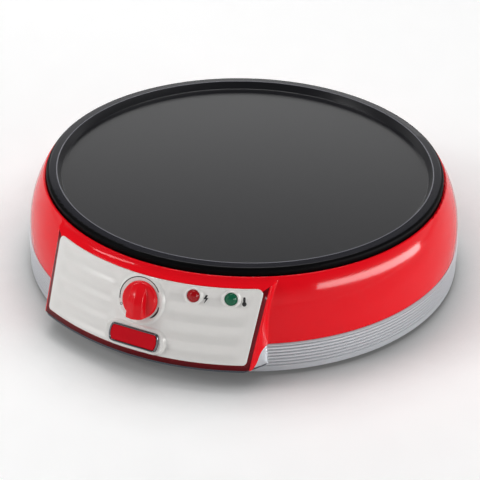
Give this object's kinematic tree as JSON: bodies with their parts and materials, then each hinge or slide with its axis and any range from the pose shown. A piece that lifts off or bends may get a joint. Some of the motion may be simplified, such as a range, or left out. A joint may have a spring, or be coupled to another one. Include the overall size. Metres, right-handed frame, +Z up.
{
  "type": "electric crepe maker",
  "caption": "Countertop crepe maker: round rimmed cooking plate on a drum-shaped body, with a leaning front control pod, thermostat knob and pilot lights.",
  "frame": {"origin": "on the table under the centre of the round cooking plate", "axes": "+Z up, -Y towards the user, where the control pod is, +X to the user's right"},
  "size_m": [0.33, 0.3547, 0.0782],
  "materials": {
    "plate_coating": "cast aluminium under a satin black non-stick coating",
    "red_shell": "glossy moulded red plastic",
    "silver_base": "moulded plastic with a satin silver-grey paint",
    "pearl_fascia": "satin pearl-white painted plastic",
    "knob_red": "glossy red plastic",
    "badge_chrome": "chrome-plated plastic",
    "badge_red": "glossy red plastic",
    "lens_red": "translucent red lens",
    "lens_green": "translucent green lens",
    "lamp_holder": "natural heat-resistant plastic around a neon lamp",
    "element_steel": "heat-tinted steel tube",
    "shield_steel": "aluminised steel sheet",
    "steel": "zinc-plated steel sheet",
    "screw_steel": "zinc-plated steel",
    "spindle_steel": "turned steel",
    "copper": "drawn copper",
    "fuse_sleeve": "woven glass-fibre sleeve",
    "phenolic": "dark phenolic moulding",
    "block_plastic": "cream polyamide",
    "gland_rubber": "black rubber",
    "foot_rubber": "black rubber"
  },
  "bodies": {
    "body": {"cooking_plate": "plate_coating", "heating_element": "element_steel", "element_clips": "steel", "heat_shield": "shield_steel", "plate_spacers": "steel", "plate_screws": "screw_steel", "sensor_clips": "steel", "capillary_sensor": "copper", "thermal_fuse": "fuse_sleeve", "upper_housing": "red_shell", "base_housing": "silver_base", "base_screws": "screw_steel", "fascia_panel": "pearl_fascia", "fascia_screws": "screw_steel", "badge_frame": "badge_chrome", "badge_plate": "badge_red", "thermostat_body": "phenolic", "thermostat_bracket": "steel", "thermostat_screws": "screw_steel", "cord_gland": "gland_rubber", "terminal_block": "block_plastic", "power_lens": "lens_red", "power_lamp": "lamp_holder", "ready_lens": "lens_green", "ready_lamp": "lamp_holder", "foot_front_left": "foot_rubber", "foot_front_right": "foot_rubber", "foot_rear_left": "foot_rubber", "foot_rear_right": "foot_rubber"},
    "knob": {"control_knob": "knob_red", "thermostat_spindle": "spindle_steel"}
  },
  "joints": [
    {"name": "knob_turn", "type": "hinge", "parent": "body", "child": "knob", "pos_m": [0, -0.16531, 0.05233], "axis": [0, 0.9235, -0.3837], "range_deg": [-120, 150]}
  ]
}
